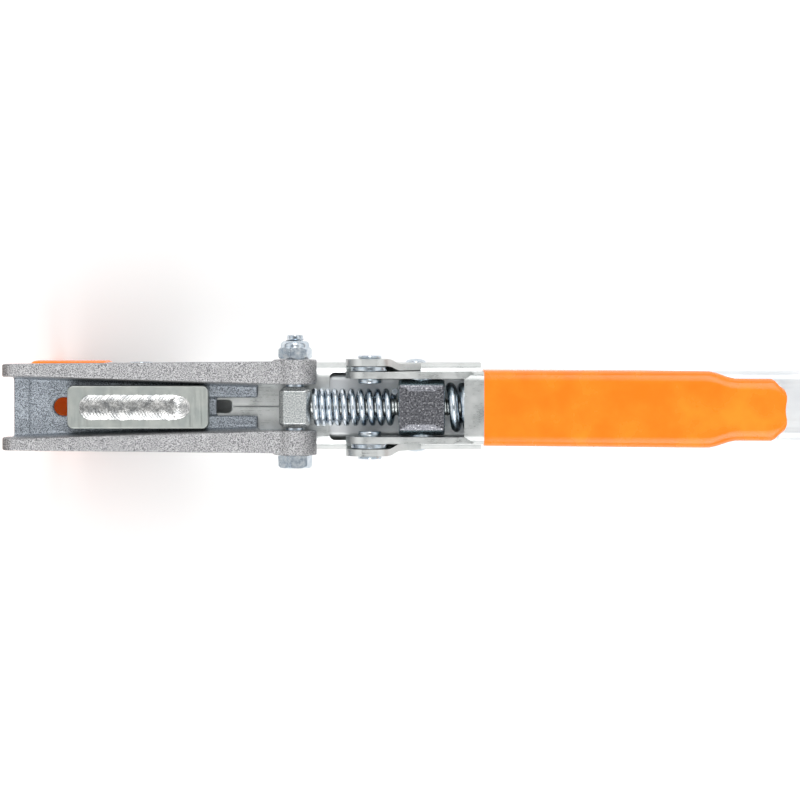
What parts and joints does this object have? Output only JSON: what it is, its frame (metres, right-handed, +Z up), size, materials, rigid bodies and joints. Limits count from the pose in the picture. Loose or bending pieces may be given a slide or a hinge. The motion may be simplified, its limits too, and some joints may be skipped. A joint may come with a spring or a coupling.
{
  "type": "over-centre lever clamp",
  "caption": "Lever-operated over-centre clamp head on a square tube, with a sprung pull rod, a welded cast jaw and an orange dipped grip.",
  "frame": {"origin": "on the underside of the sleeve that holds the tube, straight below the lever's pivot, on the middle plane", "axes": "+X along the tube towards its plugged end and the lever's grip, +Y across the tube along the pivots towards the nut's side, +Z up towards the lever"},
  "size_m": [0.4625, 0.0573, 0.1385],
  "materials": {
    "bright_zinc": "satin bright zinc plate on folded steel sheet",
    "cast_zinc": "zinc-plated steel casting with a blasted, speckled skin",
    "blue_zinc": "bright blue zinc plate on springs and fasteners",
    "dark_steel": "dark ground steel, scratched and oiled",
    "weld_metal": "bright rippled weld metal under zinc plate",
    "tube_metal": "satin drawn square tube",
    "orange_vinyl": "soft dipped orange vinyl, satin",
    "black_plastic": "moulded black plastic",
    "nylon": "white nylon locking ring"
  },
  "bodies": {
    "frame": {"square_tube": "tube_metal", "tube_end_plug": "black_plastic", "sleeve_frame": "bright_zinc", "fixed_jaw_coating": "orange_vinyl", "jaw_pin": "bright_zinc", "sleeve_rivet_left": "bright_zinc", "sleeve_rivet_right": "bright_zinc", "pivot_rivet_left": "blue_zinc", "pivot_rivet_right": "blue_zinc", "pivot_washer_left": "bright_zinc", "pivot_washer_right": "bright_zinc", "jaw_spacer_left": "dark_steel", "jaw_spacer_right": "dark_steel"},
    "jaw": {"cast_head": "cast_zinc", "jaw_bar": "dark_steel", "weld_bead": "weld_metal", "jaw_pad": "dark_steel", "rod_bolt": "blue_zinc", "bolt_nut": "blue_zinc", "bolt_nut_ring": "nylon"},
    "lever": {"lever_channel": "bright_zinc", "lever_grip": "orange_vinyl"},
    "block": {"trunnion_block": "dark_steel", "trunnion_pin_left": "blue_zinc", "trunnion_pin_right": "blue_zinc"},
    "rod": {"eye_rod": "bright_zinc", "return_spring": "blue_zinc", "heavy_spring": "blue_zinc"},
    "seat": {"spring_seat": "bright_zinc"},
    "nut": {"adjusting_nut": "blue_zinc", "adjusting_nut_ring": "nylon"}
  },
  "joints": [
    {"name": "lever_pivot", "type": "hinge", "parent": "frame", "child": "lever", "pos_m": [0, 0, 0.0493], "axis": [0, -1, 0], "range_deg": [0, 70]},
    {"name": "block_pivot", "type": "hinge", "parent": "lever", "child": "block", "pos_m": [0.0223, 0, 0.0478], "axis": [0, -1, 0], "range_deg": [-64, 0], "deforming": ["return_spring"]},
    {"name": "jaw_swing", "type": "hinge", "parent": "frame", "child": "jaw", "pos_m": [-0.10085, 0, 0.0188], "axis": [0, -1, 0], "range_deg": [0, 15]},
    {"name": "rod_swing", "type": "hinge", "parent": "jaw", "child": "rod", "pos_m": [-0.0322, 0, 0.0478], "axis": [0, -1, 0], "range_deg": [-8, 0]},
    {"name": "seat_feed", "type": "slide", "parent": "rod", "child": "seat", "axis": [-1, 0, 0], "range_m": [-0.0027, 0.0027], "deforming": ["heavy_spring"]},
    {"name": "nut_turn", "type": "hinge", "parent": "seat", "child": "nut", "pos_m": [0.0604, 0, 0.0478], "axis": [-1, 0, 0], "range_deg": [-720, 720]}
  ],
  "couplings": [
    {"joint": "jaw_swing", "follows": "lever_pivot", "ratio": 0.2},
    {"joint": "rod_swing", "follows": "lever_pivot", "ratio": -0.1},
    {"joint": "block_pivot", "follows": "lever_pivot", "ratio": -0.9},
    {"joint": "seat_feed", "follows": "nut_turn", "m_per_rad": 0.00019894}
  ]
}
